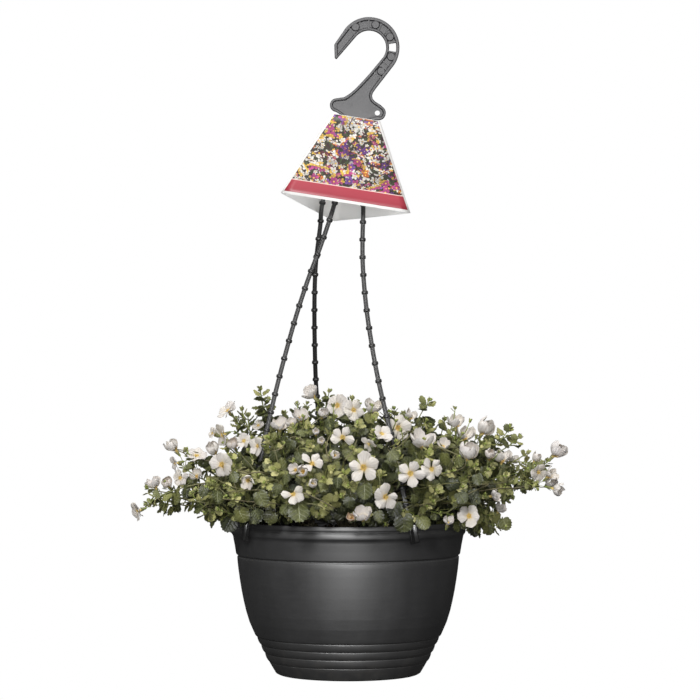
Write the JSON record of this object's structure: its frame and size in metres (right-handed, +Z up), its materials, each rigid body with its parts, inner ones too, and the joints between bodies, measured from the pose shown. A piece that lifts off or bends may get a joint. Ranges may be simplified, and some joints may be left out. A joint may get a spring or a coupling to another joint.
{
  "type": "hanging basket of white bacopa",
  "caption": "Ribbed plastic hanging pot on beaded strands and a flat hook, planted with a trailing mound of small toothed leaves and white lobed flowers.",
  "frame": {"origin": "centre of the pot's flat underside", "axes": "+Z up to the hook; the front, which the card's main face looks to, is -Y; +X to the right seen from the front"},
  "size_m": [0.4569, 0.3828, 0.7005],
  "materials": {
    "pot_plastic": "satin anthracite moulding",
    "strand_plastic": "satin charcoal moulding",
    "hook_plastic": "satin mid grey moulding",
    "card": "coated card, printed outside, white inside",
    "compost": "moist peat and bark crumbs",
    "stem": "green-brown stem",
    "leaf": "soft semi-matt leaf",
    "petal": "matt white petal with a yellow throat"
  },
  "bodies": {
    "root": {"pot": "pot_plastic", "compost": "compost", "hook": "hook_plastic", "arm_back": "strand_plastic", "arm_left": "strand_plastic", "arm_right": "strand_plastic", "label_card": "card", "crown_1": "stem", "crown_2": "stem", "crown_3": "stem", "shoot_01": "leaf", "shoot_02": "leaf", "shoot_03": "leaf", "shoot_04": "leaf", "shoot_05": "leaf", "shoot_06": "leaf", "shoot_07": "leaf", "shoot_08": "leaf", "shoot_09": "leaf", "shoot_10": "leaf", "shoot_11": "leaf", "shoot_12": "leaf", "shoot_13": "leaf", "shoot_14": "leaf", "shoot_15": "leaf", "shoot_16": "leaf", "shoot_17": "leaf", "shoot_18": "leaf", "shoot_19": "leaf", "shoot_20": "leaf", "shoot_21": "leaf", "shoot_22": "leaf", "shoot_23": "leaf", "shoot_24": "leaf", "flower_01": "petal", "flower_02": "petal", "flower_03": "petal", "flower_04": "petal", "flower_05": "petal", "flower_06": "petal", "flower_07": "petal", "flower_08": "petal", "flower_09": "petal", "flower_10": "petal", "flower_11": "petal", "flower_12": "petal", "flower_13": "petal", "flower_14": "petal", "flower_15": "petal", "flower_16": "petal", "flower_17": "petal", "flower_18": "petal", "flower_19": "petal", "flower_20": "petal", "flower_21": "petal", "flower_22": "petal", "flower_23": "petal", "flower_24": "petal"}
  },
  "joints": []
}
